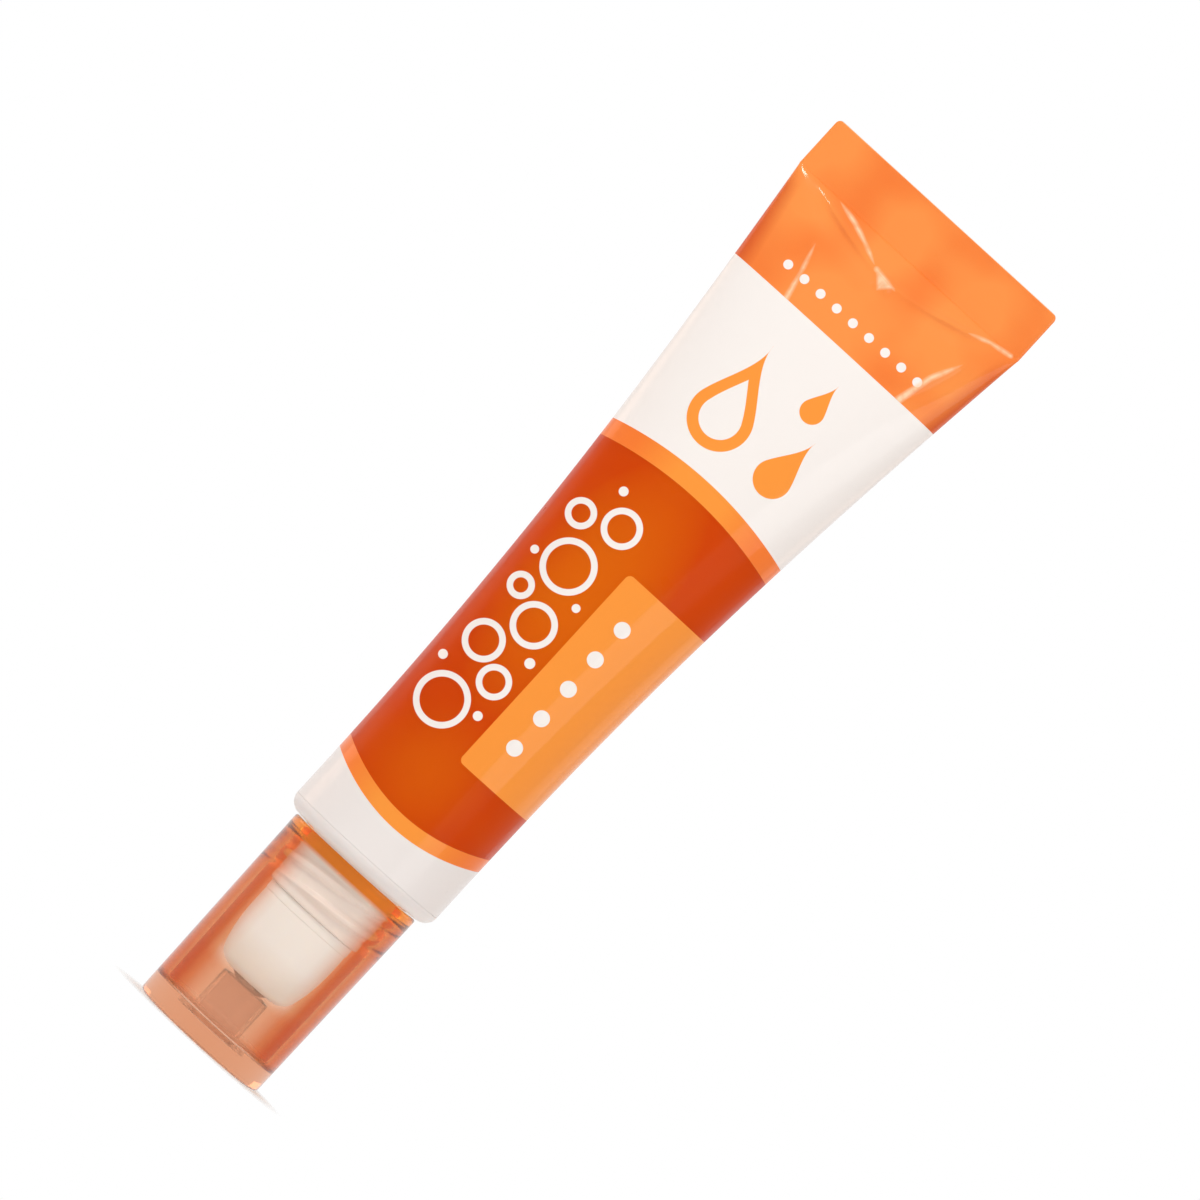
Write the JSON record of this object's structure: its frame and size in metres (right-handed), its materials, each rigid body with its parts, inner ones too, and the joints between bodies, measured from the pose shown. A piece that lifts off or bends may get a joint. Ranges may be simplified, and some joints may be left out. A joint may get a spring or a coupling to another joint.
{
  "type": "cuticle oil rollerball",
  "caption": "Soft squeeze tube with a flat welded tail, a white tapered applicator with a rolling steel ball at its tip and a clear orange screw cap.",
  "frame": {"origin": "centre of the cap's closed end face, which the tube stands on", "axes": "+Z along the tube from the cap's end to the welded tail, X across the tail's width, the printed front faces -Y"},
  "size_m": [0.0298, 0.019, 0.1125],
  "materials": {
    "sleeve_film": "printed soft film, satin gloss",
    "head_plastic": "white moulded plastic, satin",
    "inner_plastic": "natural translucent plastic",
    "housing_plastic": "white moulded plastic, satin",
    "ball_steel": "polished stainless steel",
    "cap_clear": "clear tinted plastic, polished",
    "plug_plastic": "soft translucent plastic",
    "oil": "clear orange oil"
  },
  "bodies": {
    "tube": {"tube_sleeve": "sleeve_film", "tube_head": "head_plastic", "flow_reducer": "inner_plastic", "roller_housing": "housing_plastic", "ball_seat": "inner_plastic", "oil_fill": "oil"},
    "ball": {"roller_ball": "ball_steel"},
    "cap_seal": {"cap_plug": "plug_plastic"},
    "cap": {"cap_shell": "cap_clear"}
  },
  "joints": [
    {"name": "ball_roll", "type": "hinge", "parent": "tube", "child": "ball", "pos_m": [0, 0, 0.0099], "axis": [1, 0, 0], "continuous": true},
    {"name": "cap_travel", "type": "slide", "parent": "tube", "child": "cap_seal", "axis": [0, 0, -1], "range_m": [0, 0.02]},
    {"name": "cap_turn", "type": "hinge", "parent": "cap_seal", "child": "cap", "pos_m": [0, 0, 0], "axis": [0, 0, -1], "range_deg": [0, 1441]}
  ],
  "couplings": [
    {"joint": "cap_turn", "follows": "cap_travel", "rad_per_m": 1256.6}
  ]
}
